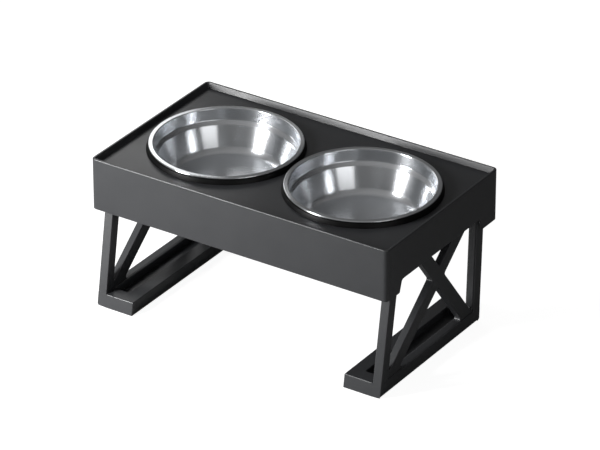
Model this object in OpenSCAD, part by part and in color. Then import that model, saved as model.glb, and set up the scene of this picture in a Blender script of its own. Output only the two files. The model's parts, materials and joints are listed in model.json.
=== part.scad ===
// Raised dog feeder: a moulded tray with two lift-out steel bowls on two plug-in legs.
// X runs left to right, Y from the front to the back, and Z up from the floor.

/* [Stand] */
// Height of the tray's lower edge above the floor
leg_height = 131; // [112:1:170]

/* [Bowls] */
// Outside diameter of a bowl's rim
rim_diameter = 189; // [170:1:220]
// Gap between the two rims
rim_gap = 6; // [5:0.5:20]
// Width of the rim's flange, seen from above
rim_width = 6.5; // [5.5:0.1:8]
// Thickness of the rim's folded flange
rim_height = 2.2; // [1.8:0.1:3]
// Radius of the bend from the band into the rim
rim_bend = 1.4; // [0.8:0.1:1.7]
// How far the rims stand above the tray's lip
rim_rise = 1.2; // [0:0.1:2.5]
// Inside depth of a bowl below the top of its rim
bowl_depth = 52; // [44:1:56]
// Thickness of the steel sheet
bowl_sheet = 0.8; // [0.6:0.1:1.2]
// Height of the straight band under the rim
band_height = 16; // [10:0.5:18]
// Width of the step below the band
band_step = 4.5; // [1.5:0.1:5]
// Diameter of the flat base inside a bowl
base_diameter = 125; // [100:1:130]
// Inside radius between the base and the wall
base_fillet = 12; // [8:1:16]

/* [Tray] */
// Distance from a rim to the end face of the tray
end_margin = 18; // [16.5:0.5:40]
// Distance from a rim to the front or back face of the tray
side_margin = 28.75; // [25.5:0.25:50]
// Height of the tray from the skirt's edge to the top of the lip
tray_height = 68; // [66:1:90]
// Thickness of the skirt
wall = 3; // [2.4:0.1:3.5]
// Thickness of the tray's floor
floor_thickness = 3; // [2.4:0.1:4]
// Height of the spill lip above the tray's floor
lip_height = 7; // [6.2:0.1:9]
// How far the lip's inner face leans in from top to bottom
lip_draft = 2; // [0.5:0.1:2]
// Radius of the upright corners
corner_radius = 6; // [6:0.5:12]
// Chamfer round the top of the lip
top_chamfer = 0.8; // [0.4:0.1:1.2]
// Width of the top of the raised collar round a bowl hole
collar_width = 4.5; // [4:0.1:5]
// How far the collar's side spreads from top to bottom
collar_draft = 2.4; // [0:0.1:3]
// Depth of the stiffening ribs below the floor
rib_depth = 14; // [8:1:18]
// Thickness of the stiffening ribs
rib_thickness = 2.4; // [1.8:0.1:3]
// Spacing of the ribs that run from a bowl hole to the skirt
rib_spacing = 60; // [50:1:70]

/* [End notches] */
// Height of the notch in each end wall
notch_height = 16; // [10:1:20]
// Width of the skirt left at each front corner, at its lower edge
front_tab = 28; // [22:1:36]
// Width of the skirt left at each rear corner, at its lower edge
rear_tab = 34; // [26:1:40]
// How far the notch narrows towards its top, on each side
notch_slant = 5; // [3:1:12]
// Radius of the notch's upper corners
notch_radius = 5; // [2:0.5:8]

/* [Legs] */
// Distance from the tray's end face to the outer face of a leg
leg_inset = 6.5; // [5.6:0.1:8]
// Thickness of a leg's frame
leg_thickness = 12; // [9:0.1:13]
// Width of the two uprights
upright_width = 16; // [12:0.5:18]
// Distance from the tray's front face to the front upright, where it enters the tray
front_inset = 18.5; // [16:0.25:28]
// Distance from the tray's back face to the rear upright, where it enters the tray
rear_inset = 20.5; // [16:0.25:28]
// How far the front upright leans forward down to the floor
front_rake = 21.75; // [0:0.25:26]
// How far the rear upright leans forward down to the floor
rear_rake = 5; // [0:0.25:12]
// Width of the two crossed braces
brace_width = 18.5; // [12:0.5:20]
// Depth by which the braces lie below the frame's faces
brace_relief = 1.5; // [0.5:0.1:2]
// Width of the step along the frame's inner edges
frame_step = 1.2; // [0.8:0.1:2]
// Height of the windows' lower edges above the top of the foot
sill_rise = 0.8; // [0.6:0.1:3]
// Height above those edges at which the rising brace's upper edge leaves the front upright
brace_rise = 6; // [0:0.5:10]
// Distance from the front upright to the brace that falls to the rear, along the top rail
brace_top_front = 64; // [58:1:74]
// Distance from the rear upright to the brace that rises from the front, along the top rail
brace_top_rear = 33; // [30:1:44]
// Height of the top rail
top_rail_height = 12; // [8:1:16]
// Distance from the top of the uprights to the top rail
top_rail_drop = 21; // [19:1:24]
// Radius of the corners of the windows
window_radius = 3; // [1.5:0.5:5]

/* [Feet] */
// Width of the foot, from the outer face of the leg inwards
foot_width = 51.5; // [44:0.5:70]
// Height of the top of the foot above the floor
foot_height = 18; // [14:1:22]
// Width of the channel in the top of the foot, beside the frame
channel_width = 21; // [12:0.5:30]
// Distance from the frame's inner face to the channel
channel_inset = 0.6; // [0.4:0.1:2]
// Depth of the channel
channel_depth = 10; // [6:0.5:13]
// Thickness of the foot's end walls, in front of the channel and behind it
channel_end = 19; // [10:1:40]
// Radius of the foot's outer lower edge
foot_radius = 4; // [2:0.5:6]
// Length of a rubber pad, front to back
pad_length = 40; // [20:1:60]
// Width of a rubber pad
pad_width = 30; // [20:1:34]
// Thickness of a rubber pad
pad_thickness = 2.5; // [2:0.1:4]
// Radius of a pad's corners
pad_corner = 5; // [2:0.5:9]
// How far a pad stands out of the foot
pad_proud = 0.6; // [0.4:0.1:1.5]
// Distance from the end of the foot to a pad
pad_margin = 12; // [8:1:20]

/* [Fits] */
// Thickness of a soft ring between a rim and the tray
ring_thickness = 1.2; // [1:0.1:1.6]
// Thickness of a soft ring's skirt round the collar
ring_skirt = 0.8; // [0.6:0.1:1]
// Gap between the skirt and the collar, and between the skirt and the tray's floor
ring_fit = 0.1; // [0.05:0.05:0.3]
// Gap between a rim and its soft ring
rim_seat_gap = 0.3; // [0.2:0.05:0.5]
// How far a soft ring's inner edge stays back from the hole
ring_inset = 1; // [0.5:0.1:1.5]
// Radial gap between a bowl and its hole
hole_gap = 1.2; // [0.8:0.1:2]
// Gap round an upright in its socket
socket_gap = 0.3; // [0.2:0.05:0.5]
// Thickness of the socket walls
socket_wall = 2.5; // [2:0.1:3]
// Height of a socket's mouth above the skirt's edge
socket_mouth = 5; // [3:1:10]
// How far a snap hook stands out of its upright
hook_reach = 1.6; // [1:0.1:2]
// Height of a snap hook
hook_height = 4; // [3:0.5:6]
// Width of a snap hook
hook_width = 6; // [4:0.5:8]
// Distance from the top of an upright to its hook's catch face
hook_drop = 15; // [13:0.5:18]
// Thickness of the ledge that a hook catches on
ledge_height = 4; // [3:0.5:5]
// Thickness of the springy tongue that carries a hook
tongue_thickness = 2.6; // [2:0.1:3.2]
// Gap round a pad in its pocket
pad_gap = 0.2; // [0.1:0.05:0.4]

/* [Hidden] */
$fn = 96;

plastic = "#3a3b3d";
steel = "#c4c8cc";
rubber = "#141414";
cut = 1;            // how far a cutting tool runs past a face
arc_steps = 6;      // straight steps in one rounded corner of an outline
corner_share = 0.45;    // largest share of an edge that a rounded corner takes up
bend_steps = 8;     // straight steps in a rim's bend
fillet_steps = 14;  // straight steps in a bowl's fillet and in the fold of its rim

// Tray
bowl_spacing = rim_diameter + rim_gap;
tray_length = bowl_spacing + rim_diameter + 2 * end_margin;
tray_width = rim_diameter + 2 * side_margin;
tray_top = leg_height + tray_height;
floor_top = tray_top - lip_height;
floor_bottom = floor_top - floor_thickness;
floor_middle = floor_top - floor_thickness / 2;
rib_height = rib_depth + floor_thickness / 2;
mouth_radius = rim_diameter / 2 - rim_width;
hole_radius = mouth_radius + bowl_sheet + hole_gap;
collar_radius = hole_radius + collar_width;
bowl_top = tray_top + rim_rise;
ring_top = bowl_top - rim_height - rim_seat_gap;
collar_top = ring_top - ring_thickness;

// Leg, in its own (Y, Z) plane
leg_outer = tray_length / 2 - leg_inset;
leg_inner = leg_outer - leg_thickness;
front_top = -tray_width / 2 + front_inset;
rear_top = tray_width / 2 - rear_inset;
front_foot = front_top - front_rake;
rear_foot = rear_top - rear_rake;
rail_top = floor_bottom - top_rail_drop;
rail_bottom = rail_top - top_rail_height;
catch_height = floor_bottom - hook_drop;
window_sill = foot_height + sill_rise;

// How far the feet stand out in front of the tray, halved to centre the stand
overhang = max(0, -tray_width / 2 - meet(front_edge(0), level(pad_proud))[0]);

// Edges of the uprights, from the floor to the skirt, moved inwards by a width
function front_edge(w) = [[front_foot + w, 0], [front_top + w, leg_height]];
function rear_edge(w) = [[rear_foot - w, 0], [rear_top - w, leg_height]];
function level(z) = [[0, z], [1, z]];

// Upper edges of the braces: each starts where an upright meets the foot, or just above
function rising() = [meet(front_edge(upright_width), level(window_sill + brace_rise)),
    [rear_top - upright_width - brace_top_rear, rail_bottom]];
function falling() = [[front_top + upright_width + brace_top_front, rail_bottom],
    meet(rear_edge(upright_width), level(window_sill))];

// A line moved sideways to its left by a distance
function moved(line, d) =
    let (u = (line[1] - line[0]) / norm(line[1] - line[0]), n = [-u[1], u[0]])
    [line[0] + d * n, line[1] + d * n];

// Where two lines cross
function meet(a, b) =
    let (d = a[1] - a[0], e = b[1] - b[0], g = b[0] - a[0])
    a[0] + d * ((g[0] * e[1] - g[1] * e[0]) / (d[0] * e[1] - d[1] * e[0]));

// An outline with its corners rounded to radius r
function rounded(points, r) = let (n = len(points)) [
    for (i = [0:n - 1])
        let (p = points[i],
            a = (points[(i + n - 1) % n] - p), b = (points[(i + 1) % n] - p),
            ua = a / norm(a), ub = b / norm(b),
            half = acos(max(-1, min(1, ua * ub))) / 2,
            fit = min(r, corner_share * min(norm(a), norm(b)) * tan(half)),
            middle = (ua + ub) / norm(ua + ub),
            centre = p + middle * fit / sin(half),
            start = p + ua * fit / tan(half) - centre,
            end = p + ub * fit / tan(half) - centre,
            turn = start[0] * end[1] - start[1] * end[0] > 0 ? 1 : -1,
            first = atan2(start[1], start[0]))
        for (s = [0:arc_steps])
            let (angle = first + turn * (180 - 2 * half) * s / arc_steps)
            centre + fit * [cos(angle), sin(angle)]];

// Points along an arc, from angle a to angle b
function arc(centre, r, a, b, steps) = [
    for (i = [0:steps])
        let (t = a + (b - a) * i / steps)
        centre + r * [cos(t), sin(t)]];

// A rectangle centred on the origin with round corners
module round_rectangle(length, width, radius) {
    square([length - 2 * radius, width], center = true);
    square([length, width - 2 * radius], center = true);
    for (x = [-1, 1], y = [-1, 1])
        translate([x * (length / 2 - radius), y * (width / 2 - radius)]) circle(radius);
}

// Lifts a (Y, Z) outline out of its plane, from x upwards by depth
module along_x(x, depth) {
    translate([x, 0, 0]) rotate([90, 0, 90]) linear_extrude(depth) children();
}

// Lifts an (X, Z) outline out of its plane, from y backwards by depth
module along_y(y, depth) {
    translate([0, y + depth, 0]) rotate([90, 0, 0]) linear_extrude(depth) children();
}

module at_bowl(side) {
    translate([side * bowl_spacing / 2, 0, 0]) children();
}

// Section of the skirt and lip, measured inwards from the tray's outer face
module skirt_section() {
    c = top_chamfer;
    foot = wall + lip_draft;
    polygon([[0, leg_height], [0, tray_top - c], [c, tray_top], [wall - c, tray_top],
        [wall, tray_top - c], [foot, floor_top], [foot, floor_bottom],
        [wall, floor_bottom], [wall, leg_height]]);
}

// That section carried along the sides and round the corners, with the floor between
module tray_shell() {
    long = tray_length - 2 * corner_radius;
    short = tray_width - 2 * corner_radius;
    both_sides() along_x(-long / 2, long) translate([-tray_width / 2, 0]) skirt_section();
    both_ends() along_y(-short / 2, short)
        translate([tray_length / 2, 0]) mirror([1, 0]) skirt_section();
    both_ends() both_sides() translate([long / 2, -short / 2, 0]) rotate([0, 0, -90])
        rotate_extrude(angle = 90) translate([corner_radius, 0]) mirror([1, 0]) skirt_section();
    translate([0, 0, floor_bottom]) linear_extrude(floor_thickness)
        round_rectangle(tray_length - wall, tray_width - wall, corner_radius - wall / 2);
}

// Notch in an end wall, in the (Y, Z) plane
module notch_outline() {
    front = front_tab - tray_width / 2;
    rear = tray_width / 2 - rear_tab;
    below = 2 * notch_radius;
    slope = notch_slant / notch_height;
    polygon(rounded([[front - below * slope, leg_height - below],
        [front + notch_slant, leg_height + notch_height],
        [rear - notch_slant, leg_height + notch_height],
        [rear + below * slope, leg_height - below]], notch_radius));
}

// Collar, hanging wall and ribs round one bowl hole
module bowl_seat() {
    translate([0, 0, floor_middle])
        cylinder(h = collar_top - floor_middle, r1 = collar_radius + collar_draft, r2 = collar_radius);
    translate([0, 0, floor_bottom - rib_depth])
        cylinder(h = rib_height, r = hole_radius + rib_thickness);
    for (x = [-rib_spacing, 0, rib_spacing]) translate([x, 0, 0]) rib();
}

// Rib across the whole tray, from the front of the skirt to the back
module rib() {
    translate([-rib_thickness / 2, -(tray_width - wall) / 2, floor_bottom - rib_depth])
        cube([rib_thickness, tray_width - wall, rib_height]);
}

// Block for the socket at the front right corner, at an inset from the front face
module socket(inset) {
    margin = socket_gap + socket_wall;
    bottom = leg_height + socket_mouth;
    translate([leg_inner - margin, -tray_width / 2 + inset - margin, bottom])
        cube([tray_length / 2 - wall / 2 - leg_inner + margin, upright_width + 2 * margin,
            floor_middle - bottom]);
}

// Space in that socket for the upright, the top rail beside it and the snap hook
module socket_space(inset) {
    reach = socket_gap + socket_wall + cut;
    depth = leg_thickness + 2 * socket_gap;
    slot = hook_width + 2 * socket_gap;
    start = -tray_width / 2 + inset;
    slot_start = start + (upright_width - slot) / 2;
    ledge_top = catch_height - socket_gap;
    translate([leg_inner - socket_gap, start - socket_gap, leg_height])
        cube([depth, upright_width + 2 * socket_gap, floor_bottom - leg_height]);
    translate([leg_inner - socket_gap, start, leg_height])
        cube([depth, upright_width + reach, rail_top + socket_gap - leg_height]);
    translate([leg_inner - reach, slot_start, leg_height])
        cube([reach, slot, ledge_top - ledge_height - leg_height]);
    translate([leg_inner - reach, slot_start, ledge_top])
        cube([reach, slot, hook_height + 2 * socket_gap]);
}

module both_ends() {
    children();
    mirror([1, 0, 0]) children();
}

module both_sides() {
    children();
    mirror([0, 1, 0]) children();
}

module tray() {
    color(plastic) difference() {
        union() {
            tray_shell();
            for (side = [-1, 1]) at_bowl(side) bowl_seat();
            rib();
            both_ends() {
                socket(front_inset);
                mirror([0, 1, 0]) socket(rear_inset);
            }
        }
        for (side = [-1, 1]) at_bowl(side)
            translate([0, 0, leg_height]) cylinder(h = tray_height + cut, r = hole_radius);
        both_ends() along_x(leg_outer, leg_inset + cut) notch_outline();
        both_ends() {
            socket_space(front_inset);
            mirror([0, 1, 0]) socket_space(rear_inset);
        }
    }
}

// Half section of a bowl, with Z measured from the top of the rim
module bowl_section() {
    rim_edge = rim_height / 2;
    bend_centre = [mouth_radius + rim_bend, -rim_bend];
    edge_centre = [rim_diameter / 2 - rim_edge, -rim_edge];
    fillet_centre = [base_diameter / 2, base_fillet - bowl_depth];
    step = [mouth_radius - band_step, -band_height - band_step];
    lean = step - fillet_centre;
    wall_angle = atan2(lean[1], lean[0]) - acos(base_fillet / norm(lean));
    outer_step = step + bowl_sheet * [cos(wall_angle), sin(wall_angle)];
    outer_fillet = base_fillet + bowl_sheet;
    polygon(concat(
        [[0, -bowl_depth - bowl_sheet], [0, -bowl_depth]],
        arc(fillet_centre, base_fillet, -90, wall_angle, fillet_steps),
        [step, [mouth_radius, -band_height]],
        arc(bend_centre, rim_bend, 180, 90, bend_steps),
        arc(edge_centre, rim_edge, 90, -90, fillet_steps),
        [[mouth_radius + bowl_sheet, -rim_height],
            [mouth_radius + bowl_sheet, -band_height - bowl_sheet], outer_step],
        arc(fillet_centre, outer_fillet, wall_angle, -90, fillet_steps)));
}

module bowl(side) {
    color(steel) at_bowl(side) translate([0, 0, bowl_top]) rotate_extrude() bowl_section();
}

// Soft ring that the rim rests on: a cap over the tray's collar, with a skirt down its side
module bowl_ring(side) {
    inner = hole_radius + ring_inset;
    skirt_end = floor_top + ring_fit;
    side_slope = collar_draft / (collar_top - floor_middle);
    skirt_inner = collar_radius + ring_fit + side_slope * (collar_top - skirt_end);
    color(rubber) at_bowl(side) rotate_extrude() polygon([[inner, collar_top],
        [collar_radius + ring_fit, collar_top], [skirt_inner, skirt_end],
        [skirt_inner + ring_skirt, skirt_end],
        [collar_radius + ring_fit + ring_skirt, ring_top], [inner, ring_top]]);
}

// Side outline of a leg: raked uprights below the skirt and plumb ones inside the tray
module leg_outline() {
    w = upright_width;
    polygon([meet(front_edge(0), level(pad_proud)), [front_top, leg_height],
        [front_top, floor_bottom], [front_top + w, floor_bottom], [front_top + w, rail_top],
        [rear_top - w, rail_top], [rear_top - w, floor_bottom], [rear_top, floor_bottom],
        [rear_top, leg_height], meet(rear_edge(0), level(pad_proud))]);
}

// End outline of a leg: the upright with its foot turned inwards
module leg_section() {
    inside = leg_outer - foot_width;
    r = foot_radius;
    translate([leg_inner, foot_height]) square([leg_thickness, floor_bottom - foot_height]);
    translate([inside, pad_proud]) square([foot_width - r, foot_height - pad_proud]);
    translate([inside, pad_proud + r]) square([foot_width, foot_height - pad_proud - r]);
    translate([leg_outer - r, pad_proud + r]) circle(r);
}

// The four windows between the frame and the crossed braces
module leg_windows() {
    w = upright_width;
    above = rising();
    below = moved(above, -brace_width);
    behind = falling();
    ahead = moved(behind, -brace_width);
    ceiling = level(rail_bottom);
    sill = level(window_sill);
    module window(points) polygon(rounded(points, window_radius));

    window([meet(ahead, below), meet(below, sill), meet(ahead, sill)]);
    window([meet(behind, above), meet(above, ceiling), meet(behind, ceiling)]);
    window([[front_top + w, rail_bottom], meet(ahead, ceiling), meet(ahead, above),
        above[0], [front_top + w, leg_height]]);
    window([[rear_top - w, rail_bottom], meet(below, ceiling), meet(behind, below),
        behind[1], [rear_top - w, leg_height]]);
}

// Field inside the frame, where the braces lie a little deeper than the frame
module brace_field() {
    w = upright_width - frame_step;
    sill = level(foot_height + sill_rise / 2);
    ceiling = rail_bottom + frame_step;
    polygon([meet(front_edge(w), sill), [front_top + w, leg_height], [front_top + w, ceiling],
        [rear_top - w, ceiling], [rear_top - w, leg_height], meet(rear_edge(w), sill)]);
}

// Channel in the top of the foot, between the frame and the foot's inner bar
module channel() {
    start = front_foot + channel_end;
    translate([leg_inner - channel_inset - channel_width, start, foot_height - channel_depth])
        cube([channel_width, rear_foot - channel_end - start, channel_depth + cut]);
}

// Snap hook near the top of an upright, at an inset from the front face
module hook(inset) {
    along_y(-tray_width / 2 + inset + (upright_width - hook_width) / 2, hook_width)
        polygon([[leg_inner + socket_gap, catch_height], [leg_inner - hook_reach, catch_height],
            [leg_inner - hook_reach, catch_height + hook_height / 3],
            [leg_inner + socket_gap, catch_height + hook_height]]);
}

// Slit behind the hook, which leaves a springy tongue
module tongue_slit(inset) {
    start = rail_top + cut;
    translate([leg_inner + tongue_thickness, -tray_width / 2 + inset - cut, start])
        cube([hook_reach + socket_gap, upright_width + 2 * cut, floor_bottom + cut - start]);
}

module pad_place(end) {
    span = pad_length / 2 + pad_margin;
    translate([leg_outer - foot_width / 2, end < 0 ? front_foot + span : rear_foot - span, 0])
        children();
}

module pad_outline(grow) {
    round_rectangle(pad_width + 2 * grow, pad_length + 2 * grow, pad_corner + grow);
}

module leg() {
    length = rear_top - front_foot + 2 * cut;
    color(plastic) difference() {
        union() {
            intersection() {
                along_x(leg_outer - foot_width, foot_width) leg_outline();
                along_y(front_foot - cut, length) leg_section();
            }
            hook(front_inset);
            mirror([0, 1, 0]) hook(rear_inset);
        }
        along_x(leg_inner - cut, leg_thickness + 2 * cut) leg_windows();
        along_x(leg_outer - brace_relief, brace_relief + cut) brace_field();
        along_x(leg_inner - cut, brace_relief + cut) brace_field();
        channel();
        tongue_slit(front_inset);
        mirror([0, 1, 0]) tongue_slit(rear_inset);
        for (end = [-1, 1]) pad_place(end) translate([0, 0, pad_proud - cut])
            linear_extrude(pad_thickness - pad_proud + cut) pad_outline(pad_gap);
    }
}

module pad(end) {
    color(rubber) pad_place(end) linear_extrude(pad_thickness) pad_outline(0);
}

// Moves the stand back so that its origin lies under the middle of its whole length
module placed() {
    translate([0, overhang / 2, 0]) children();
}

placed() tray();
placed() bowl(-1);  // bowl_left
placed() bowl(1);  // bowl_right
placed() bowl_ring(-1);  // bowl_ring_left
placed() bowl_ring(1);  // bowl_ring_right
placed() mirror([1, 0, 0]) leg();  // leg_left
placed() leg();  // leg_right
placed() mirror([1, 0, 0]) pad(-1);  // pad_front_left
placed() mirror([1, 0, 0]) pad(1);  // pad_rear_left
placed() pad(-1);  // pad_front_right
placed() pad(1);  // pad_rear_right
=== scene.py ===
import json
import math
import bpy
import bmesh
import numpy as np
from mathutils import Vector, Matrix
from mathutils.geometry import tessellate_polygon

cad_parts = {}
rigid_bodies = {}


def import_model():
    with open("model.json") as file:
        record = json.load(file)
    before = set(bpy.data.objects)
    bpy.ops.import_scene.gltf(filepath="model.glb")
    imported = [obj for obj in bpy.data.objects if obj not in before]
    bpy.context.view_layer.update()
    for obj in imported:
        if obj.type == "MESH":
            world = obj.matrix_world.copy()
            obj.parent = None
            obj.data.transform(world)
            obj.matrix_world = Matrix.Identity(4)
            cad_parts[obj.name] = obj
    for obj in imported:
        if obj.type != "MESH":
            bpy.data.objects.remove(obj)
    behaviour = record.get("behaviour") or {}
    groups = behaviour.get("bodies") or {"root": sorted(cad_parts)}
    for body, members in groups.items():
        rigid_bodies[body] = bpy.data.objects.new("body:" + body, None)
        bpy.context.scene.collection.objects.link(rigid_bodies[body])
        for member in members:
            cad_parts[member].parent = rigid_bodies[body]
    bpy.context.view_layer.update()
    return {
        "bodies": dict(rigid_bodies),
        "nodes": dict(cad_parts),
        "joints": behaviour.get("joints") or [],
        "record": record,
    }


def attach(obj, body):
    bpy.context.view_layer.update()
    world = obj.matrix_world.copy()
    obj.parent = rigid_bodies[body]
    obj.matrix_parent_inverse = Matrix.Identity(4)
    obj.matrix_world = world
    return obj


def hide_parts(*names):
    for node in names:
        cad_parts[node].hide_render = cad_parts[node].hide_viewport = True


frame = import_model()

scene = bpy.context.scene
mm = 0.001
midY = 1.575  # the tray stands this far behind the origin, all shapes below are in mm
bowlSpacing = 195  # between the axes of the two bowls
hair = 0.05  # keeps the faces of joined blocks from lying in one plane
print("frame loaded:", len(frame["nodes"]), "nodes")


# a line whose corners are replaced by arcs: each arc is the corner's two cut points swung
# round a centre on the corner's bisector, and a cut takes at most a share of its edges
def softened(points, radii, steps=5, share=0.48):
    p = np.array(points, float)
    r = np.array(radii, float)
    a, b = np.roll(p, 1, 0) - p, np.roll(p, -1, 0) - p
    la, lb = np.linalg.norm(a, axis=1), np.linalg.norm(b, axis=1)
    ua, ub = a / la[:, None], b / lb[:, None]
    half = np.arccos(np.clip((ua * ub).sum(1), -1, 1)) / 2
    cut = np.minimum(r / np.tan(half), share * np.minimum(la, lb))
    mid = (ua + ub) / np.maximum(np.linalg.norm(ua + ub, axis=1), 1e-9)[:, None]
    centre = p + mid * (cut / np.cos(half))[:, None]
    swing = np.maximum(np.pi - 2 * half, 1e-6)[:, None]
    t = np.linspace(0, 1, steps)[None, :]
    w0, w1 = np.sin((1 - t) * swing) / np.sin(swing), np.sin(t * swing) / np.sin(swing)
    s0, s1 = p + ua * cut[:, None] - centre, p + ub * cut[:, None] - centre
    out = centre[:, None] + w0[..., None] * s0[:, None] + w1[..., None] * s1[:, None]
    out = out.reshape(-1, 2)
    keep = np.linalg.norm(out - np.roll(out, 1, 0), axis=1) > 1e-5
    return out[keep] if keep.any() else out


# quads between the neighbouring rows of a grid, joined round the columns where wrap is set
def gridQuads(rows, cols, wrap):
    i, j = np.meshgrid(np.arange(rows - 1), np.arange(cols if wrap else cols - 1), indexing="ij")
    k = (j + 1) % cols
    return np.stack([i * cols + j, i * cols + k, (i + 1) * cols + k, (i + 1) * cols + j], -1).reshape(-1, 4)


# one surface of a piece: a grid of points with its quads
def sheet(grid):
    rows, cols = grid.shape[:2]
    return grid.reshape(-1, 3), gridQuads(rows, cols, True).tolist()


# a profile (radius, height) turned round an upright axis: x = cx + r cos t, y = r sin t
def turned(profile, cx, count):
    t = np.linspace(0, 2 * np.pi, count, endpoint=False)
    r, z = profile[:, 0:1], profile[:, 1:2]
    return sheet(np.stack([cx + r * np.cos(t), r * np.sin(t), z + 0 * t], -1))


# a block with round edges: a sphere of radius r pulled apart to the block's corners,
# p = middle + sign * (half - r) + r * (cos v cos u, cos v sin u, sin v), with flat caps
def roundBlock(lo, hi, r, steps=4, share=0.49):
    lo, hi = np.array(lo, float), np.array(hi, float)
    mid, half = (lo + hi) / 2, (hi - lo) / 2
    r = min(r, share * (hi - lo).min())
    q = np.repeat(np.arange(4), steps)
    u = (q + np.tile(np.linspace(0, 1, steps), 4)) * np.pi / 2
    sx, sy = np.where((q == 0) | (q == 3), 1, -1), np.where(q < 2, 1, -1)
    v = np.concatenate([np.linspace(-1, 0, steps), np.linspace(0, 1, steps)])[:, None] * np.pi / 2
    sz = np.repeat([-1, 1], steps)[:, None]
    x = mid[0] + sx * (half[0] - r) + r * np.cos(v) * np.cos(u)
    y = mid[1] + sy * (half[1] - r) + r * np.cos(v) * np.sin(u)
    z = mid[2] + sz * (half[2] - r) + r * np.sin(v) + 0 * u
    grid = np.stack([x, y, z], -1)
    cap = np.broadcast_to(mid, (1, 4 * steps, 3)).copy()
    low, high = cap.copy(), cap.copy()
    low[..., 2], high[..., 2] = lo[2], hi[2]
    return sheet(np.concatenate([low, grid, high]))


# the way each point of a loop moves when all its edges move to their left by one
def mitre(loop):
    e = np.roll(loop, -1, 0) - loop
    e = e / np.linalg.norm(e, axis=1)[:, None]
    n = np.stack([-e[:, 1], e[:, 0]], -1)
    m = n + np.roll(n, 1, 0)
    return m / (1 + (n * np.roll(n, 1, 0)).sum(1))[:, None]


# an outline runs left-handed, with its area above zero, and a hole the other way
def leftHanded(loop, outside):
    x, y = loop.T
    return ((x * np.roll(y, -1) - y * np.roll(x, -1)).sum() > 0) == outside


# a flat plate of any outline with holes: every loop carries a quarter-round edge from one
# face to the other, and the faces fill the loops; place maps (a, b, depth) to x, y, z.
# near and far are the edge radii at the two faces, one number or one for each point of a loop
def plate(loops, d0, d1, near, far, place, steps=4):
    f = np.linspace(0, np.pi / 2, steps)[:, None]
    verts, faces, first, last, count = [], [], [], [], 0
    for i, loop in enumerate(loops):
        loop = np.array(loop, float)
        r0, r1 = [np.broadcast_to(r[i] if isinstance(r, list) else r, len(loop)) for r in (near, far)]
        if not leftHanded(loop, i == 0):
            loop, r0, r1 = loop[::-1], r0[::-1], r1[::-1]
        step = np.concatenate([r0 * (1 - np.sin(f)), r1 * (1 - np.cos(f))])
        depth = np.concatenate([d0 + r0 * (1 - np.cos(f)), d1 - r1 * (1 - np.sin(f))])
        rings = loop + step[..., None] * mitre(loop)
        v, q = sheet(np.concatenate([rings, depth[..., None]], -1))
        verts.append(v)
        faces += (np.array(q) + count).tolist()
        n = len(loop)
        first.append(np.arange(count, count + n))
        last.append(np.arange(count + len(v) - n, count + len(v)))
        count += len(v)
    verts = np.concatenate(verts)
    for ids in (first, last):
        tris = tessellate_polygon([[Vector((p[0], p[1], 0)) for p in verts[k]] for k in ids])
        faces += np.concatenate(ids)[np.array(tris)].tolist()
    return place(verts), faces


def onSide(p):  # (y, z, x) of a leg's side view
    return p[:, [2, 0, 1]]


def onEnd(p):  # (x, z, y) of a leg's end view
    return p[:, [0, 2, 1]]


def onPlan(p):  # (x, y, z) of a foot seen from above
    return p


# wear attribute of each face corner: how far the faces round the point turn away from each other,
# kept on narrow faces only, so that it stays on the rounded edges
def markEdges(mesh, narrow=0.0012, gain=25):
    count = len(mesh.loops)
    verts, totals = np.empty(count, int), np.empty(len(mesh.polygons), int)
    normals, areas = np.empty(len(mesh.polygons) * 3), np.empty(len(mesh.polygons))
    co = np.empty(len(mesh.vertices) * 3)
    mesh.loops.foreach_get("vertex_index", verts)
    mesh.polygons.foreach_get("loop_total", totals)
    mesh.polygons.foreach_get("normal", normals)
    mesh.polygons.foreach_get("area", areas)
    mesh.vertices.foreach_get("co", co)
    n, co = np.repeat(normals.reshape(-1, 3), totals, 0), co.reshape(-1, 3)[verts]
    acc, num = np.zeros((len(mesh.vertices), 3)), np.zeros(len(mesh.vertices))
    np.add.at(acc, verts, n)
    np.add.at(num, verts, 1)
    bend = np.clip(gain * (1 - np.linalg.norm(acc, axis=1) / np.maximum(num, 1)), 0, 1)
    start = np.cumsum(totals) - totals
    after = np.arange(count) + 1
    after[start + totals - 1] = start
    girth = np.add.reduceat(np.linalg.norm(co[after] - co, axis=1), start)
    thin = np.clip(narrow * girth / (2 * np.maximum(areas, 1e-12)), 0, 1) ** 2
    attr = mesh.attributes.new("edgeWear", "FLOAT", "CORNER")
    attr.data.foreach_set("value", (bend[verts] * np.repeat(thin, totals)).astype(np.float32))


# uv of a turned piece: u runs with the distance from the axis and the height, v once round the axis
def spinMap(mesh, cx, perMetre=5):
    loops, totals = np.empty(len(mesh.loops), int), np.empty(len(mesh.polygons), int)
    mesh.loops.foreach_get("vertex_index", loops)
    mesh.polygons.foreach_get("loop_total", totals)
    co = np.empty(len(mesh.vertices) * 3)
    mesh.vertices.foreach_get("co", co)
    x, y, z = (co.reshape(-1, 3)[loops] - np.array([cx * mm, midY * mm, 0])).T
    reach, turn = np.hypot(x, y), np.arctan2(y, x) / (2 * np.pi)
    first = np.repeat(turn[np.cumsum(totals) - totals], totals)
    turn = turn + np.round(first - turn)  # faces over the seam run on past it
    layer = mesh.uv_layers.new(name="spin")
    uv = np.column_stack([(reach + z) * perMetre, turn])
    layer.data.foreach_set("uv", uv.ravel().astype(np.float32))


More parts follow.
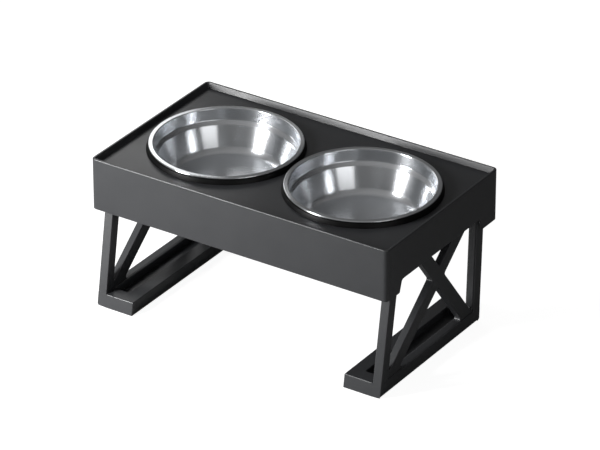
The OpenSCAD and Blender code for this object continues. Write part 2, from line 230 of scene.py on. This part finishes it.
# joins the solids of one piece, in mm, into a mesh in metres and hangs it on its body;
# a solid is a list of sheets whose edges meet, and is welded and turned outwards on its own
def makePiece(name, solids, material, body, node, sharp=35, mirror=False):
    whole = bmesh.new()
    for sheets in solids:
        verts = np.concatenate([v for v, f in sheets])
        starts = np.cumsum([0] + [len(v) for v, f in sheets])
        faces = [[i + k for i in q] for (v, f), k in zip(sheets, starts) for q in f]
        verts = (verts + np.array([0, midY, 0])) * mm * np.array([-1 if mirror else 1, 1, 1])
        part = bpy.data.meshes.new(name)
        part.from_pydata(verts.tolist(), [], faces)
        bm = bmesh.new()
        bm.from_mesh(part)
        bmesh.ops.remove_doubles(bm, verts=bm.verts, dist=1e-6)
        bmesh.ops.dissolve_degenerate(bm, edges=bm.edges, dist=1e-8)
        bmesh.ops.recalc_face_normals(bm, faces=bm.faces)
        if bm.calc_volume(signed=True) < 0:
            bmesh.ops.reverse_faces(bm, faces=bm.faces)
        bm.to_mesh(part)
        bm.free()
        whole.from_mesh(part)
        bpy.data.meshes.remove(part)
    mesh = bpy.data.meshes.new(name)
    whole.to_mesh(mesh)
    whole.free()
    markEdges(mesh)
    mesh.shade_smooth()
    mesh.set_sharp_from_angle(angle=math.radians(sharp))
    mesh.materials.append(material)
    piece = bpy.data.objects.new(name, mesh)
    scene.collection.objects.link(piece)
    even = piece.modifiers.new("even", "WEIGHTED_NORMAL")
    even.keep_sharp = True
    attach(piece, body)
    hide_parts(node)
    print(name, "made:", len(mesh.vertices), "points", len(mesh.polygons), "faces")
    return piece


# finishes
def newMaterial(name):
    m = bpy.data.materials.new(name)
    m.use_nodes = True
    t = m.node_tree
    return m, t, t.nodes["Principled BSDF"]


def node(t, kind, **sets):
    n = t.nodes.new(kind)
    for k, v in sets.items():
        setattr(n, k, v)
    return n


def feed(t, socket, value):  # a number or a colour is set on the socket, an output is linked to it
    if isinstance(value, (int, float)):
        socket.default_value = value
    elif isinstance(value, tuple):
        socket.default_value = value + (1,)
    else:
        t.links.new(value, socket)


def maths(t, operation, *values):
    n = node(t, "ShaderNodeMath", operation=operation)
    for socket, value in zip(n.inputs, values):
        feed(t, socket, value)
    return n.outputs[0]


def combine(t, *values):
    n = node(t, "ShaderNodeCombineXYZ")
    for socket, value in zip(n.inputs, values):
        feed(t, socket, value)
    return n.outputs[0]


def noise(t, where, scale, detail=2, rough=0.5):
    n = node(t, "ShaderNodeTexNoise")
    for k, v in (("Vector", where), ("Scale", scale), ("Detail", detail), ("Roughness", rough)):
        feed(t, n.inputs[k], v)
    return n.outputs["Fac"]


# a value's range from lo to hi stretched to outLo to outHi; noise lies mostly within 0.3 to 0.7
def ramp(t, value, outLo, outHi, lo=0.3, hi=0.7):
    n = node(t, "ShaderNodeMapRange")
    for k, v in (("Value", value), ("From Min", lo), ("From Max", hi), ("To Min", outLo), ("To Max", outHi)):
        feed(t, n.inputs[k], v)
    return n.outputs["Result"]


def blendColour(t, fac, a, b):
    n = node(t, "ShaderNodeMix", data_type="RGBA")
    feed(t, n.inputs["Factor"], fac)
    feed(t, n.inputs[6], a)
    feed(t, n.inputs[7], b)
    return n.outputs[2]


def bump(t, height, strength, distance):
    n = node(t, "ShaderNodeBump")
    for k, v in (("Height", height), ("Strength", strength), ("Distance", distance)):
        feed(t, n.inputs[k], v)
    return n.outputs["Normal"]


def dress(t, shader, **sockets):  # socket names with their spaces left out
    names = {s.name.replace(" ", ""): s for s in shader.inputs}
    for k, v in sockets.items():
        feed(t, names[k], v)


plasticLook = dict(dark=(0.022, 0.023, 0.025), pale=(0.028, 0.029, 0.031), worn=(0.060, 0.061, 0.064),
                   roughLow=0.33, roughHigh=0.37, mottle=26, wearFrom=0.1, wearMost=0.55,
                   grain=1500, bump=0.12, depth=0.0003, ior=1.5)


def mouldedPlastic(look):
    m, t, shader = newMaterial("mouldedPlastic")
    where = node(t, "ShaderNodeTexCoord").outputs["Object"]
    mottle = noise(t, where, look["mottle"], detail=4, rough=0.6)
    grain = noise(t, where, look["grain"])
    edge = node(t, "ShaderNodeAttribute", attribute_name="edgeWear").outputs["Fac"]
    wear = ramp(t, edge, 0, look["wearMost"], lo=look["wearFrom"], hi=1)
    body = blendColour(t, mottle, look["dark"], look["pale"])
    dress(t, shader, BaseColor=blendColour(t, wear, body, look["worn"]),
          Roughness=ramp(t, mottle, look["roughLow"], look["roughHigh"]),
          Normal=bump(t, grain, look["bump"], look["depth"]), IOR=look["ior"])
    return m


steelLook = dict(colour=(0.695, 0.71, 0.73), shade=(0.655, 0.67, 0.69), roughLow=0.22, roughHigh=0.245,
                 stretch=0.86, lines=900, sweep=0.0012, cloud=18, cloudLow=-0.01, cloudHigh=0.02,
                 bump=0.02, depth=0.00002)


# the spun lines are noise on (distance from the bowl's axis, height, a little of the turn round it)
def spunSteel(look):
    m, t, shader = newMaterial("spunSteel")
    where = node(t, "ShaderNodeTexCoord").outputs["Object"]
    split = node(t, "ShaderNodeSeparateXYZ")
    t.links.new(where, split.inputs[0])
    side = maths(t, "ABSOLUTE", split.outputs["X"])  # both bowls share one pattern
    dx = maths(t, "SUBTRACT", side, bowlSpacing * mm / 2)
    dy = maths(t, "SUBTRACT", split.outputs["Y"], midY * mm)
    reach = node(t, "ShaderNodeVectorMath", operation="LENGTH")
    t.links.new(combine(t, dx, dy), reach.inputs[0])
    slow = maths(t, "MULTIPLY", maths(t, "ARCTAN2", dy, dx), look["sweep"])
    spun = combine(t, reach.outputs["Value"], split.outputs["Z"], slow)
    lines = noise(t, spun, look["lines"], detail=3, rough=0.65)
    cloud = ramp(t, noise(t, where, look["cloud"], detail=3), look["cloudLow"], look["cloudHigh"])
    rough = maths(t, "ADD", ramp(t, lines, look["roughLow"], look["roughHigh"], lo=0.25, hi=0.75), cloud)
    # the gloss spreads across the lines
    along = node(t, "ShaderNodeTangent", direction_type="UV_MAP", uv_map="spin").outputs[0]
    dress(t, shader, BaseColor=blendColour(t, ramp(t, lines, 0, 1), look["shade"], look["colour"]),
          Roughness=rough, Normal=bump(t, lines, look["bump"], look["depth"]), Tangent=along,
          Anisotropic=look["stretch"], Metallic=1.0)
    return m


siliconeLook = dict(name="blackSilicone", base=(0.002, 0.002, 0.002), pale=(0.004, 0.004, 0.004),
                    rough=0.4, spread=0.06, scale=40, shine=0.12, grain=30, bump=0.15, depth=0.0002)
padLook = dict(name="padRubber", base=(0.015, 0.015, 0.015), pale=(0.028, 0.028, 0.028),
               rough=0.75, spread=0.06, scale=60, shine=0.5, grain=30, bump=0.15, depth=0.0002)


def softRubber(look):
    m, t, shader = newMaterial(look["name"])
    where = node(t, "ShaderNodeTexCoord").outputs["Object"]
    mottle = noise(t, where, look["scale"], detail=3)
    grain = noise(t, where, look["scale"] * look["grain"])
    dress(t, shader, BaseColor=blendColour(t, mottle, look["base"], look["pale"]),
          Roughness=ramp(t, mottle, look["rough"] - look["spread"], look["rough"] + look["spread"]),
          Normal=bump(t, grain, look["bump"], look["depth"]), SpecularIORLevel=look["shine"])
    return m


plastic = mouldedPlastic(plasticLook)
steel = spunSteel(steelLook)
silicone = softRubber(siliconeLook)
rubber = softRubber(padLook)
print("finishes made")


# bowls: one sheet of steel, spun into a base, a wall, a step, a band and a flat rim with a folded edge
bowlForm = dict(rim=189, rimWidth=6.5, rimHeight=2.2, bend=1.4, depth=52, sheet=0.8, band=16, step=4.5,
                stepRound=3, bandRound=2, base=125, baseReach=0.96, crown=0.5, fillet=12, top=200.2,
                turns=224, filletSteps=26, baseSteps=14, bendSteps=10, edgeSteps=16, stepSteps=8)


# points of an arc: centre + r (cos t, sin t)
def arcPoints(centre, r, start, end, count):
    t = np.linspace(start, end, count)
    return np.stack([centre[0] + r * np.cos(t), centre[1] + r * np.sin(t)], -1)


# the sheet's profile: up the inside from the middle of the base, over the rim and down the outside
def bowlProfile(f):
    mouth, s = f["rim"] / 2 - f["rimWidth"], f["sheet"]
    cx, cz = f["base"] / 2, f["fillet"] - f["depth"]
    stepX, stepZ = mouth - f["step"], -f["band"] - f["step"]
    lean = math.hypot(stepX - cx, stepZ - cz)
    tip = math.atan2(stepZ - cz, stepX - cx) - math.acos(f["fillet"] / lean)
    inner = arcPoints((cx, cz), f["fillet"], -np.pi / 2, tip, f["filletSteps"])
    outer = arcPoints((cx, cz), f["fillet"] + s, -np.pi / 2, tip, f["filletSteps"])
    x = np.linspace(0, cx * f["baseReach"], f["baseSteps"])
    crown = f["crown"] * (1 - (x / cx) ** 2)  # the base stands up a little in the middle
    base = np.stack([x, crown - f["depth"]], -1)
    neck = softened([inner[-1], (stepX, stepZ), (mouth, -f["band"]), (mouth, -f["bend"])],
                    [0, f["stepRound"], f["bandRound"], 0], f["stepSteps"])
    edge, bend, up = f["rimHeight"] / 2, f["bend"], np.pi / 2
    roll = np.concatenate([arcPoints((mouth + bend, -bend), bend, np.pi, up, f["bendSteps"]),
                           arcPoints((f["rim"] / 2 - edge, -edge), edge, up, -up, f["edgeSteps"]),
                           [(mouth + s, -f["rimHeight"])]])
    outerStep = (stepX + s * math.cos(tip), stepZ + s * math.sin(tip))
    back = softened([roll[-1], (mouth + s, -f["band"] - s), outerStep, outer[-1]],
                    [0, f["bandRound"], f["stepRound"], 0], f["stepSteps"])
    under = base[::-1] + np.array([0, -s])
    p = np.concatenate([base, inner, neck, roll, back, outer[::-1], under])
    p = p[np.concatenate([[True], np.linalg.norm(np.diff(p, axis=0), axis=1) > 1e-4])]
    return p + np.array([0, f["top"]])


for side, tag in ((-1, "left"), (1, "right")):
    axis = side * bowlSpacing / 2
    bowl = makePiece("spunBowl_" + tag, [[turned(bowlProfile(bowlForm), axis, bowlForm["turns"])]],
                     steel, "bowl_%s_body" % tag, "bowl_" + tag, sharp=60)
    spinMap(bowl.data, axis)

# soft rings under the rims: a cap over the tray's collar with a skirt down its side
ringForm = dict(inner=91, seat=94.6, low=192.1, seatTop=196.5, high=197.7, flare=1.76, skirt=0.8,
                rounds=[0.3, 0.1, 0.1, 0.35, 0.6, 0.4], turns=160)


# the ring's closed profile: under the cap, down inside the skirt, up its outside and over the top
def ringProfile(f):
    inner, seat, skirt = f["inner"], f["seat"], f["skirt"]
    foot = seat + f["flare"]
    loop = softened([(inner, f["seatTop"]), (seat, f["seatTop"]), (foot, f["low"]),
                     (foot + skirt, f["low"]), (seat + skirt, f["high"]), (inner, f["high"])], f["rounds"])
    return np.concatenate([loop, loop[:1]])


for side, tag in ((-1, "left"), (1, "right")):
    axis = side * bowlSpacing / 2
    makePiece("softRing_" + tag, [[turned(ringProfile(ringForm), axis, ringForm["turns"])]],
              silicone, "tray_body", "bowl_ring_" + tag)


# tray: a skirt profile carried round the outside, two plates with a seat, ribs and sockets
trayForm = dict(length=420, width=246.5, low=131, top=199, floorTop=192, floorLow=189, wall=3, draft=2,
                corner=6, notch=16, frontTab=28, rearTab=34, slant=5, notchCorner=5, tabCorner=2,
                levelFrom=-78, levelTo=75, collarTop=ringForm["seatTop"], hole=90, collar=4.5,
                collarDraft=1.8, apron=2, hang=175, hangMargin=3, ribWide=2.4, ribStep=60, ribRound=0.6,
                sink=0.6, lap=1, spacing=3, splitSteps=82, tabSteps=6, notchSteps=8, cornerSteps=9, lipSteps=6,
                rows=(0.33, 0.66), skirtRounds=[0, 0.25, 0.7, 1.1, 0.9, 0.8, 1.0, 0],
                seatRounds=[0, 0.4, 0.5, 0.4, 0.7, 0.7, 0.8, 0])
socketForm = dict(inner=191.5, outer=203.5, wide=16, gap=0.3, wall=2.5, mouth=136, front=18.5, rear=20.5,
                  rail=168, catch=174, ledge=4, hookWide=6, hookHigh=4, catchLap=0.5, edge=0.4)


# the skirt's lower edge along an end wall: level tabs, slanting sides and a raised middle
def notchEdge(f):
    end, low, up = f["width"] / 2 - f["corner"], f["low"], f["low"] + f["notch"]
    a, b = f["frontTab"] - f["width"] / 2, f["width"] / 2 - f["rearTab"]
    round1, round2 = f["tabCorner"], f["notchCorner"]
    line = softened([(-end, low), (a, low), (a + f["slant"], up), (b - f["slant"], up), (b, low), (end, low)],
                    [0, round1, round2, round2, round1, 0], f["notchSteps"])
    line = line[np.argsort(line[:, 0])]
    middle = np.arange(f["levelFrom"], f["levelTo"] + f["spacing"], f["spacing"])
    tabs = [np.linspace(-end, a - f["spacing"], f["tabSteps"]),
            np.linspace(b + f["spacing"], end, f["tabSteps"])]
    y = np.unique(np.round(np.concatenate([line[:, 0], [end], middle] + tabs), 5))
    return y, np.interp(y, line[:, 0], line[:, 1])


# the outer path: straight sides and round corners, with the inward direction and lower edge at each point
def skirtPath(f):
    hx, hy, r = f["length"] / 2 - f["corner"], f["width"] / 2 - f["corner"], f["corner"]
    x = np.linspace(0, hx, int(hx / f["spacing"]))
    yEnd, zEnd = notchEdge(f)
    a = np.linspace(0, np.pi / 2, f["cornerSteps"])[1:-1]
    parts = []

    def run(px, py, nx, ny, z=f["low"]):
        px, py = np.broadcast_arrays(np.asarray(px, float), np.asarray(py, float))
        parts.append(np.stack([px, py, nx + 0 * px, ny + 0 * px, z + 0 * px], -1))

    def bend(cx, cy, start):
        c, s = np.cos(start + a), np.sin(start + a)
        parts.append(np.stack([cx + r * c, cy + r * s, -c, -s, f["low"] + 0 * a], -1))

    run(x, -hy - r, 0, 1)
    bend(hx, -hy, -np.pi / 2)
    run(hx + r, yEnd, -1, 0, zEnd)
    bend(hx, hy, 0)
    run(np.concatenate([x[::-1], -x[1:]]), hy + r, 0, -1)
    bend(-hx, hy, np.pi / 2)
    run(-hx - r, yEnd[::-1], 1, 0, zEnd[::-1])
    bend(-hx, -hy, np.pi)
    run(-x[:0:-1], -hy - r, 0, 1)
    return np.concatenate(parts)


# the skirt's profile, (distance inwards, height): from the floor over the lip, down the wall and back
def skirtProfile(f):
    w, foot, r = f["wall"], f["wall"] + f["draft"], f["corner"]
    return softened([(r, f["floorTop"]), (foot, f["floorTop"]), (w, f["top"]), (0, f["top"]), (0, f["low"]),
                     (w, f["low"]), (w, f["floorLow"]), (r, f["floorLow"])], f["skirtRounds"], f["lipSteps"])


# the profile carried along the path: p = path + distance * inward direction, where the skirt's
# lowest rows follow the notches; each plate then runs from half of the path's inner edge to the circle
# round its bowl, over the collar, down the hanging wall and back to the path below
def trayShell(f):
    path, profile = skirtPath(f), skirtProfile(f)
    d, z = profile[:, 0:1], profile[:, 1:2]
    lower = (z < f["low"] + f["wall"]) * 1.0
    x, y = path[:, 0] + d * path[:, 2], path[:, 1] + d * path[:, 3]
    shell = [sheet(np.stack([x, y, z + lower * (path[:, 4] - f["low"])], -1))]
    edge = path[:, :2] + f["corner"] * path[:, 2:4]
    back = int(np.argmin(np.where(edge[:, 1] > 0, np.abs(edge[:, 0]), np.inf)))  # the middle of the back
    middle = np.linspace(edge[back, 1], edge[0, 1], f["splitSteps"])[1:-1]
    split = np.stack([0 * middle, middle], -1)
    hole, seat, top, low = f["hole"], f["hole"] + f["collar"], f["floorTop"], f["floorLow"]
    hangOut, foot = hole + f["ribWide"], seat + f["collarDraft"]
    apron, hem = foot + f["apron"], hangOut + f["hangMargin"]
    rim = softened([(apron, top), (foot, top), (seat, f["collarTop"]), (hole, f["collarTop"]),
                    (hole, f["hang"]), (hangOut, f["hang"]), (hangOut, low), (hem, low)], f["seatRounds"])
    for side, loop in ((1, np.concatenate([edge[:back + 1], split])),
                       (-1, np.concatenate([edge[back:], edge[:1], split[::-1]]))):
        c = np.array([side * bowlSpacing / 2, 0.0])
        ray = loop - c
        length = np.linalg.norm(ray, axis=1)
        ray = ray / length[:, None]

        def row(reach, height):
            return np.column_stack([c + ray * reach[:, None], np.full(len(loop), height)])

        near = np.minimum(apron, length)
        rows = [row(length, top)]
        rows += [row(length * (1 - k) + near * k, top) for k in f["rows"]]
        rows += [row(np.minimum(r, length), h) for r, h in rim]
        rows += [row(length * (1 - k) + hem * k, low) for k in reversed(f["rows"])]
        rows += [row(length, low)]
        shell.append(sheet(np.stack(rows)))
    return shell


# stiffening ribs: three on each side of a hole, out to the skirt, and one across the middle
def trayRibs(f):
    end, t = f["width"] / 2 - f["wall"] + f["sink"], f["ribWide"] / 2
    spans = [(0, -end, end)]
    for side in (-1, 1):
        for dx in (-f["ribStep"], 0, f["ribStep"]):
            start = math.sqrt((f["hole"] + t) ** 2 - dx ** 2)
            spans += [(side * bowlSpacing / 2 + dx, *ends) for ends in ((start, end), (-end, -start))]
    low, high = f["hang"] + hair, f["floorLow"] + f["lap"]
    return [[roundBlock((x - t, y0, low), (x + t, y1, high), f["ribRound"], steps=3)] for x, y0, y1 in spans]


# sockets: walls round each upright, with a slot and a ledge for the snap hook on the inner side
def traySockets(f, s):
    out = []
    g, w, lap, over = s["gap"], s["wall"], f["lap"], s["catchLap"]
    x0, x1, skirt = s["inner"] - g, s["outer"] + g, f["length"] / 2 - f["wall"] + f["sink"]
    inside = x0 - w
    top, low, clear = f["floorLow"] + lap, s["mouth"], f["low"] + f["notch"] + lap
    ledgeTop = s["catch"] - g
    hookTop = ledgeTop + s["hookHigh"] + 2 * g
    for inset, tab, flip in ((s["front"], f["frontTab"], 1), (s["rear"], f["rearTab"], -1)):
        start = -f["width"] / 2 + inset
        y0, y1, hidden = start - g, start + s["wide"] + g, -f["width"] / 2 + tab - lap
        m0, m1 = start + (s["wide"] - s["hookWide"]) / 2 - g, start + (s["wide"] + s["hookWide"]) / 2 + g
        blocks = [((inside, y0 - w, low), (skirt, y0, top)),
                  ((x1, y0 - lap, low + hair), (skirt - hair, hidden, clear + lap)),
                  ((x1, y0 - lap - hair, clear), (skirt - 2 * hair, y1 + w, top)),
                  ((inside, y1, s["rail"] + g), (skirt - 3 * hair, y1 + w - hair, top)),
                  ((inside + hair, y0 - lap, low + hair), (x0, m0, top)),
                  ((inside + hair, m1, low + hair), (x0, y1 + w - 2 * hair, top)),
                  ((inside + 2 * hair, m0 - over, ledgeTop - s["ledge"]), (x0 - hair, m1 + over, ledgeTop)),
                  ((inside + 2 * hair, m0 - over, hookTop), (x0 - hair, m1 + over, top))]
        for lo, hi in blocks:
            v, q = roundBlock(lo, hi, s["edge"], steps=3)
            out += [[(v * np.array([sx, flip, 1]), q)] for sx in (1, -1)]
    return out


traySolids = [trayShell(trayForm)] + trayRibs(trayForm) + traySockets(trayForm, socketForm)
makePiece("mouldedTray", traySolids, plastic, "tray_body", "tray", sharp=40)


# legs: a frame round two crossed braces, a foot turned inwards with a channel, and plug-in tops with hooks
legForm = dict(inner=socketForm["inner"], outer=socketForm["outer"], wide=socketForm["wide"],
               high=trayForm["low"], top=trayForm["floorLow"], railTop=socketForm["rail"],
               frontTop=socketForm["front"] - trayForm["width"] / 2,
               rearTop=trayForm["width"] / 2 - socketForm["rear"],
               frontRake=21.75, rearRake=5, knee=8, brace=18.5, relief=1.5, step=1.2, braceEdge=0.8,
               railLow=156, braceFront=64, braceRear=33, sill=18.8, rise=6, corner=3, sillShare=0.7,
               rearShare=0.6, fieldCorner=1.5, ceilingCorner=2, frameLow=3, frameFoot=0.6, slitCorner=0.5,
               railCorner=0.3, tuck=0.15, footIn=152, footTop=18, footLow=0.6, footRound=4,
               channelOut=190.9, channelIn=169.9, channelLow=8, channelEnd=19, channelRound=2, lap=2,
               floorEdge=0.3, tongue=2.6, slit=1.9, slitRise=1, plugDepth=6, plugEdge=0.7,
               catch=socketForm["catch"], hookHigh=socketForm["hookHigh"], hookWide=socketForm["hookWide"],
               hookReach=1.6, hookRoot=0.5, rootCorner=0.05, hookCorner=0.3, hookEdge=0.2,
               edge=0.9, sharp=0.02)


# where two lines cross, each given by two points
def lineMeet(a, b):
    d, e, g = a[1] - a[0], b[1] - b[0], b[0] - a[0]
    return a[0] + d * ((g[0] * e[1] - g[1] * e[0]) / (d[0] * e[1] - d[1] * e[0]))


# a line moved to its left by d
def lineMoved(line, d):
    u = (line[1] - line[0]) / np.linalg.norm(line[1] - line[0])
    return line + d * np.array([-u[1], u[0]])


# edges of the raked uprights, from the floor to the skirt, moved inwards by a width
def frontLine(f, w):
    return np.array([[f["frontTop"] - f["frontRake"] + w, 0], [f["frontTop"] + w, f["high"]]])


def rearLine(f, w):
    return np.array([[f["rearTop"] - f["rearRake"] - w, 0], [f["rearTop"] - w, f["high"]]])


def levelLine(z):
    return np.array([[0.0, z], [1.0, z]])


# the four windows: the areas that the crossed braces leave inside the frame
def legWindows(f):
    w, ft, rt, hi, c = f["wide"], f["frontTop"], f["rearTop"], f["high"], f["corner"]
    ceiling, sill = levelLine(f["railLow"]), levelLine(f["sill"])
    above = np.array([lineMeet(frontLine(f, w), levelLine(f["sill"] + f["rise"])),
                      (rt - w - f["braceRear"], f["railLow"])])
    behind = np.array([(ft + w + f["braceFront"], f["railLow"]), lineMeet(rearLine(f, w), sill)])
    below, ahead = lineMoved(above, -f["brace"]), lineMoved(behind, -f["brace"])
    lower = [lineMeet(ahead, below), lineMeet(below, sill), lineMeet(ahead, sill)]
    upper = [lineMeet(behind, above), lineMeet(above, ceiling), lineMeet(behind, ceiling)]
    front = [(ft + w, f["railLow"]), lineMeet(ahead, ceiling), lineMeet(ahead, above), above[0], (ft + w, hi)]
    rear = [(rt - w, f["railLow"]), lineMeet(below, ceiling), lineMeet(behind, below), behind[1],
            (rt - w, hi)]
    sillCorner, rearCorner = c * f["sillShare"], c * f["rearShare"]
    return [softened(lower, [c] * 3, steps=6), softened(upper, [c] * 3, steps=6),
            softened(front, [c, c, c, sillCorner, f["knee"]], steps=6),
            softened(rear, [rearCorner, rearCorner, c, sillCorner, f["knee"]], steps=6)]


# the frame as a plate round one large field, and the braces as a thinner plate that fills it
def legFrame(f):
    w, k = f["wide"], f["wide"] - f["step"]
    ft, rt, hi, knee, r = f["frontTop"], f["rearTop"], f["high"], f["knee"], f["edge"]
    slitLow, railTop, low = f["railTop"] + f["slitRise"], f["railTop"], levelLine(f["frameLow"])
    tuck = np.array([f["tuck"], 0])  # the frame runs down into the foot, just behind its faces
    half = [f["frameFoot"], knee, f["slitCorner"], f["slitCorner"], f["railCorner"]]
    outline = softened([lineMeet(frontLine(f, 0), low) + tuck, (ft, hi), (ft, slitLow), (ft + w, slitLow),
                        (ft + w, railTop), (rt - w, railTop), (rt - w, slitLow), (rt, slitLow), (rt, hi),
                        lineMeet(rearLine(f, 0), low) - tuck], half + half[::-1])
    sill, ceiling = levelLine((f["footTop"] + f["sill"]) / 2), f["railLow"] + f["step"]
    field = [lineMeet(frontLine(f, k), sill), (ft + k, hi), (ft + k, ceiling),
             (rt - k, ceiling), (rt - k, hi), lineMeet(rearLine(f, k), sill)]
    half = [f["fieldCorner"], knee, f["ceilingCorner"]]
    fieldLoop = softened(field, half + half[::-1])
    frame = plate([outline, fieldLoop], f["inner"] + hair, f["outer"] - hair, r, r, onSide)
    grown = np.array(field)
    grown = grown - mitre(grown) * (1 if leftHanded(grown, True) else -1)  # the braces run into the frame
    braces = plate([grown] + legWindows(f), f["inner"] + f["relief"], f["outer"] - f["relief"],
                   f["braceEdge"], f["braceEdge"], onSide)
    return [[frame], [braces]]


# foot, seen from above: an outline with the channel as a hole, and the channel's floor in it;
# the edge along the top is sharp only where the frame stands on it
def legFoot(f):
    front, rear = f["frontTop"] - f["frontRake"], f["rearTop"] - f["rearRake"]
    o, ci, co, fi = f["outer"], f["channelIn"], f["channelOut"], f["footIn"]
    start, stop = front + f["channelEnd"], rear - f["channelEnd"]
    lap, r, join = f["lap"], f["edge"], f["channelOut"] - f["lap"]
    plan = softened([(fi, front), (join, front), (co, front), (o, front), (o, rear), (co, rear), (join, rear),
                     (fi, rear)], [r, 0, 0, r, r, 0, 0, r], steps=6)
    outer = np.clip((plan[:, 0] - o + 2 * r) / (2 * r), 0, 1)
    pit = softened([(ci, start), (co, start), (co, stop), (ci, stop)], [f["channelRound"]] * 4, steps=6)
    near = [r + outer * (f["footRound"] - r), f["sharp"]]
    far = [np.where(plan[:, 0] > (join + co) / 2, f["sharp"], r), r]
    floor = roundBlock((ci - lap, start - lap, f["footLow"] + hair), (co + lap, stop + lap, f["channelLow"]),
                       f["floorEdge"], steps=3)
    out = [plate([plan, pit], f["footLow"], f["footTop"], near, far, onPlan, steps=6), floor]
    for v, _ in out:  # the foot's ends lean with the uprights
        t = np.clip((v[:, 1] - front) / (rear - front), 0, 1)
        v[:, 1] += v[:, 2] / f["high"] * (f["frontRake"] * (1 - t) + f["rearRake"] * t)
    return [[s] for s in out]


# plug-in tops: the main bar, the springy tongue beside it and its hook
def legTops(f):
    out = []
    inner, reach, root = f["inner"], f["inner"] - f["hookReach"], f["inner"] + f["hookRoot"]
    low, catch, half = f["railTop"] + f["slitRise"] - f["plugDepth"], f["catch"], f["hookWide"] / 2
    for start in (f["frontTop"], f["rearTop"] - f["wide"]):
        y0, y1, mid = start + hair, start + f["wide"] - hair, start + f["wide"] / 2
        for x0, x1 in ((inner + f["tongue"] + f["slit"], f["outer"] - 2 * hair),
                       (inner + 2 * hair, inner + f["tongue"])):
            out.append([roundBlock((x0, y0, low), (x1, y1, f["top"]), f["plugEdge"])])
        hook = softened([(root, catch), (reach, catch), (reach, catch + f["hookHigh"] / 3),
                         (root, catch + f["hookHigh"])],
                        [f["rootCorner"], f["hookCorner"], f["hookCorner"], f["rootCorner"]], steps=4)
        out.append([plate([hook], mid - half, mid + half, f["hookEdge"], f["hookEdge"], onEnd, steps=3)])
    return out


for tag in ("left", "right"):
    makePiece("bracedLeg_" + tag, legFrame(legForm) + legFoot(legForm) + legTops(legForm), plastic,
              "leg_%s_body" % tag, "leg_" + tag, sharp=40, mirror=tag == "left")

for name, piece in frame["nodes"].items():  # the pads keep their solids
    if name.startswith("pad_"):
        piece.data.materials.clear()
        piece.data.materials.append(rubber)
print("pads dressed")


# camera at the photograph's angle
viewForm = dict(azimuth=33.359, elevation=28.684, distance=5.422, lens=271.14, sensor=36, reach=100,
                across=0.00701, down=0.01418)


def setCamera(f):
    az, el = math.radians(f["azimuth"]), math.radians(f["elevation"])
    back = Vector((math.sin(az) * math.cos(el), -math.cos(az) * math.cos(el), math.sin(el)))
    right = Vector((math.cos(az), math.sin(az), 0))
    up = back.cross(right)
    target = Vector((0, midY * mm, trayForm["low"] * mm)) + right * f["across"] - up * f["down"]
    cam = bpy.data.cameras.new("camera")
    cam.lens, cam.sensor_width, cam.clip_end = f["lens"], f["sensor"], f["reach"]
    holder = bpy.data.objects.new("camera", cam)
    scene.collection.objects.link(holder)
    turn = Matrix((right, up, back)).transposed().to_4x4()
    holder.matrix_world = Matrix.Translation(target + back * f["distance"]) @ turn
    scene.camera = holder


# stage: a pale floor far wider than the part, a dim room and soft boxes round the part, all in metres
stageForm = dict(half=6, tiles=7, tone=0.3, rough=0.9, glow=0.92, sky=0.33, shade=0.02, shadeFrom=-0.2,
                 bright=(-0.35, -0.45, 0.82), aim=(0, 0, 0.15),
                 boxes=[("key", (-0.7, -1.03, 0.52), (0.28, 0.8), 35.5),
                        ("backLeft", (-0.58, 0.42, 0.58), (0.28, 0.28), 0.5),
                        ("right", (2.5, -1.28, 0.94), (1.4, 0.9), 9)])


def setFloor(f):
    mesh = bpy.data.meshes.new("floor")
    line = np.linspace(-f["half"], f["half"], f["tiles"])
    g = np.stack(np.meshgrid(line, line, indexing="xy"), -1).reshape(-1, 2)
    quads = gridQuads(f["tiles"], f["tiles"], False)
    mesh.from_pydata(np.column_stack([g, np.zeros(len(g))]).tolist(), [], quads.tolist())
    floor = bpy.data.objects.new("floor", mesh)
    scene.collection.objects.link(floor)
    m, t, shader = newMaterial("paleFloor")
    seen = node(t, "ShaderNodeLightPath").outputs["Is Camera Ray"]  # overexposed, as on a light table
    dress(t, shader, BaseColor=(f["tone"],) * 3, Roughness=f["rough"], EmissionColor=(1, 1, 1),
          EmissionStrength=ramp(t, seen, 0, f["glow"], lo=0, hi=1))
    mesh.materials.append(m)


def setRoom(f):
    world = bpy.data.worlds.new("studio")
    scene.world = world
    world.use_nodes = True
    t = world.node_tree
    toward = node(t, "ShaderNodeVectorMath", operation="DOT_PRODUCT")  # the room is paler on one side
    t.links.new(node(t, "ShaderNodeTexCoord").outputs["Generated"], toward.inputs[0])
    toward.inputs[1].default_value = f["bright"]
    pale = ramp(t, toward.outputs["Value"], f["shade"], f["sky"], lo=f["shadeFrom"], hi=1)
    seen = node(t, "ShaderNodeLightPath").outputs["Is Camera Ray"]
    dress(t, t.nodes["Background"], Color=(1, 1, 1), Strength=maths(t, "MAXIMUM", pale, seen))


def setLights(f):
    for name, place, size, power in f["boxes"]:
        light = bpy.data.lights.new(name, "AREA")
        light.shape, light.size, light.size_y, light.energy = "RECTANGLE", size[0], size[1], power
        holder = bpy.data.objects.new(name, light)
        scene.collection.objects.link(holder)
        holder.location = place
        holder.rotation_euler = (Vector(f["aim"]) - Vector(place)).to_track_quat("-Z", "Y").to_euler()
    scene.view_settings.view_transform = "Standard"


setCamera(viewForm)
setFloor(stageForm)
setRoom(stageForm)
setLights(stageForm)
print("camera and stage set")
